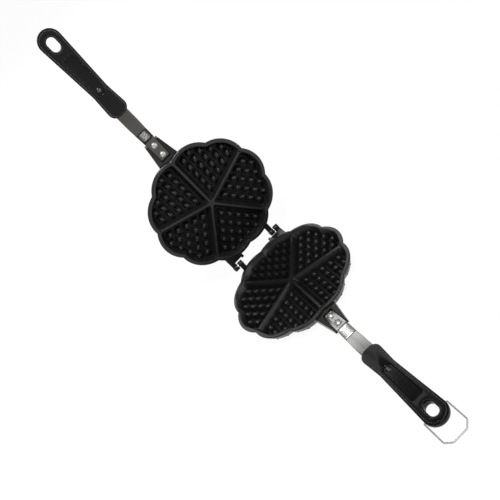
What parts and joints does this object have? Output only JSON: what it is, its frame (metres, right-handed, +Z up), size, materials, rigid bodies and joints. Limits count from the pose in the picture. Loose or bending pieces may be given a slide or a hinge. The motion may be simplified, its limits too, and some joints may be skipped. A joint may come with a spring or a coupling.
{
  "type": "stovetop heart waffle iron",
  "caption": "Hinged stovetop waffle iron: two round cast plates with heart-shaped studded moulds, long dark grips on steel straps, and a wire bail that locks them together.",
  "frame": {"origin": "centre of the lower plate's flat underside, on the hob or table", "axes": "+X from the hinge towards the lower grip, +Y along the hinge, +Z up"},
  "size_m": [0.485, 0.1766, 0.41],
  "materials": {
    "coating": "satin dark non-stick coating over cast aluminium",
    "strap_steel": "brushed",
    "rivet_metal": "bright",
    "pin_steel": "bright",
    "screw_steel": "bright",
    "bail_wire": "plated wire",
    "bakelite": "semi-gloss moulded bakelite"
  },
  "bodies": {
    "lower_half": {"lower_plate": "coating", "hinge_pin_right": "pin_steel", "hinge_pin_left": "pin_steel", "lower_strap": "strap_steel", "lower_inner_rivet": "rivet_metal", "lower_outer_rivet": "rivet_metal", "lower_grip": "bakelite", "lower_grip_screw": "screw_steel"},
    "upper_half": {"upper_plate": "coating", "upper_strap": "strap_steel", "upper_inner_rivet": "rivet_metal", "upper_outer_rivet": "rivet_metal", "upper_grip": "bakelite", "upper_grip_screw": "screw_steel"},
    "bail": {"wire_bail": "bail_wire"}
  },
  "joints": [
    {"name": "lid_hinge", "type": "hinge", "parent": "lower_half", "child": "upper_half", "pos_m": [-0.0954, 0, 0.0195], "axis": [0, 1, 0], "range_deg": [0, 97.1]},
    {"name": "bail_pivot", "type": "hinge", "parent": "lower_half", "child": "bail", "pos_m": [0.2846, 0, 0.0059], "axis": [0, -1, 0], "range_deg": [-7, 76]}
  ]
}
